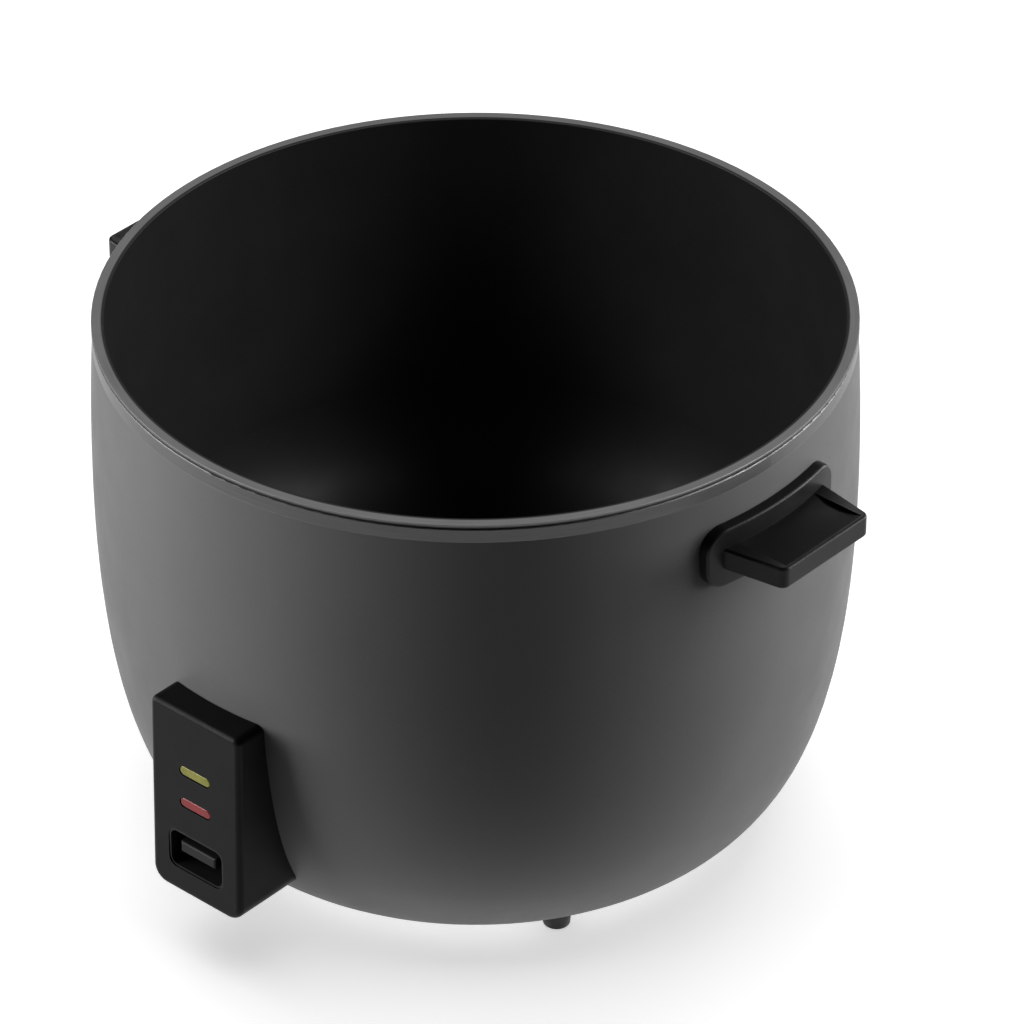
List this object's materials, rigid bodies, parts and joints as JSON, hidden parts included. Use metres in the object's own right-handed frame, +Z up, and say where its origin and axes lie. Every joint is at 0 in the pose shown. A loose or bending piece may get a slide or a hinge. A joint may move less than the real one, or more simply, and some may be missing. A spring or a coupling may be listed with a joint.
{
  "type": "rice cooker",
  "caption": "Large drum rice cooker with lift-out non-stick pot, cast heating plate, magnetic cook lever, two lamps, side handles and rear power inlet.",
  "frame": {"origin": "on the floor under the drum axis, which is also the middle of the whole object in plan", "axes": "+Z up; -Y towards the control box, +Y towards the power inlet, +X and -X through the two handles"},
  "size_m": [0.493, 0.4545, 0.314],
  "materials": {
    "drum_paint": "satin metallic charcoal",
    "band_metal": "satin dark grey",
    "pot_coating": "black non-stick inside, bare light flange",
    "jacket_steel": "aluminised sheet",
    "black_plastic": "fine moulded texture",
    "foot_rubber": "matt",
    "cast_aluminium": "cast, turned on top",
    "element_steel": "heat-dulled sheath",
    "zinc_steel": "zinc plated",
    "spring_steel": "drawn wire",
    "ferrite": "dark sintered",
    "brass": "satin",
    "inlet_plating": "nickel plated",
    "switch_plastic": "matt",
    "white_plastic": "matt",
    "lens_yellow": "glossy translucent",
    "lens_red": "glossy translucent",
    "lamp_glass": "clear",
    "wire_sleeve": "woven glass sleeve",
    "heater_band": "mica with metal skin"
  },
  "bodies": {
    "housing": {"outer_shell": "drum_paint", "rim_ring": "band_metal", "inner_jacket": "jacket_steel", "base_plate": "zinc_steel", "rubber_foot_1": "foot_rubber", "rubber_foot_2": "foot_rubber", "rubber_foot_3": "foot_rubber", "foot_screws": "zinc_steel", "base_screws": "zinc_steel", "heating_element": "element_steel", "heating_plate": "cast_aluminium", "plate_supports": "zinc_steel", "support_screws": "zinc_steel", "sensor_guide": "zinc_steel", "guide_screws": "zinc_steel", "sensor_spring": "spring_steel", "lever_bracket": "zinc_steel", "bracket_screws": "zinc_steel", "lever_pivot_pin": "zinc_steel", "lever_spring": "spring_steel", "micro_switch": "switch_plastic", "switch_screws": "zinc_steel", "control_housing": "black_plastic", "control_screws": "zinc_steel", "switch_well": "black_plastic", "lens_warm": "lens_yellow", "lens_cook": "lens_red", "lamp_warm": "lamp_glass", "lamp_cook": "lamp_glass", "lamp_holder": "white_plastic", "inlet_housing": "black_plastic", "inlet_socket": "switch_plastic", "inlet_pins": "inlet_plating", "inlet_screws": "zinc_steel", "handle_right": "black_plastic", "handle_left": "black_plastic", "handle_backing_right": "zinc_steel", "handle_backing_left": "zinc_steel", "handle_screws": "zinc_steel", "side_heater": "heater_band", "keep_warm_thermostat": "switch_plastic", "thermal_fuse": "white_plastic", "fuse_clip": "zinc_steel", "terminal_block": "white_plastic", "terminal_screws": "brass", "supply_leads": "wire_sleeve", "heater_leads": "wire_sleeve", "lamp_leads": "wire_sleeve"},
    "inner_pot": {"inner_pot": "pot_coating"},
    "thermostat_cap": {"sensor_cap": "cast_aluminium", "sensor_ferrite": "ferrite", "sensor_retainer": "zinc_steel"},
    "magnet_carriage": {"magnet": "ferrite", "magnet_cup": "zinc_steel", "pull_rod": "zinc_steel", "clevis_pin": "zinc_steel"},
    "cook_lever": {"lever_arm": "zinc_steel", "lever_knob": "black_plastic"},
    "switch_plunger": {"switch_plunger": "switch_plastic"}
  },
  "joints": [
    {"name": "pot_lift", "type": "slide", "parent": "housing", "child": "inner_pot", "axis": [0, 0, 1], "range_m": [0, 0.3]},
    {"name": "thermostat_travel", "type": "slide", "parent": "housing", "child": "thermostat_cap", "axis": [0, 0, 1], "range_m": [-0.0015, 0], "stiffness_N_per_m": 800, "springref_m": 0.006, "deforming": ["sensor_spring"]},
    {"name": "lever_press", "type": "hinge", "parent": "housing", "child": "cook_lever", "pos_m": [0, -0.086, 0.034], "axis": [1, 0, 0], "range_deg": [0, 3.5], "stiffness_Nm_per_rad": 1.2, "springref_deg": -14.32, "deforming": ["lever_spring"]},
    {"name": "magnet_lift", "type": "slide", "parent": "thermostat_cap", "child": "magnet_carriage", "axis": [0, 0, 1], "range_m": [0, 0.0053]},
    {"name": "plunger_travel", "type": "slide", "parent": "housing", "child": "switch_plunger", "axis": [0, 0, 1], "range_m": [-0.0012, 0]}
  ],
  "couplings": [
    {"joint": "magnet_lift", "follows": "lever_press", "m_per_rad": 0.086},
    {"joint": "plunger_travel", "follows": "lever_press", "m_per_rad": -0.018}
  ]
}
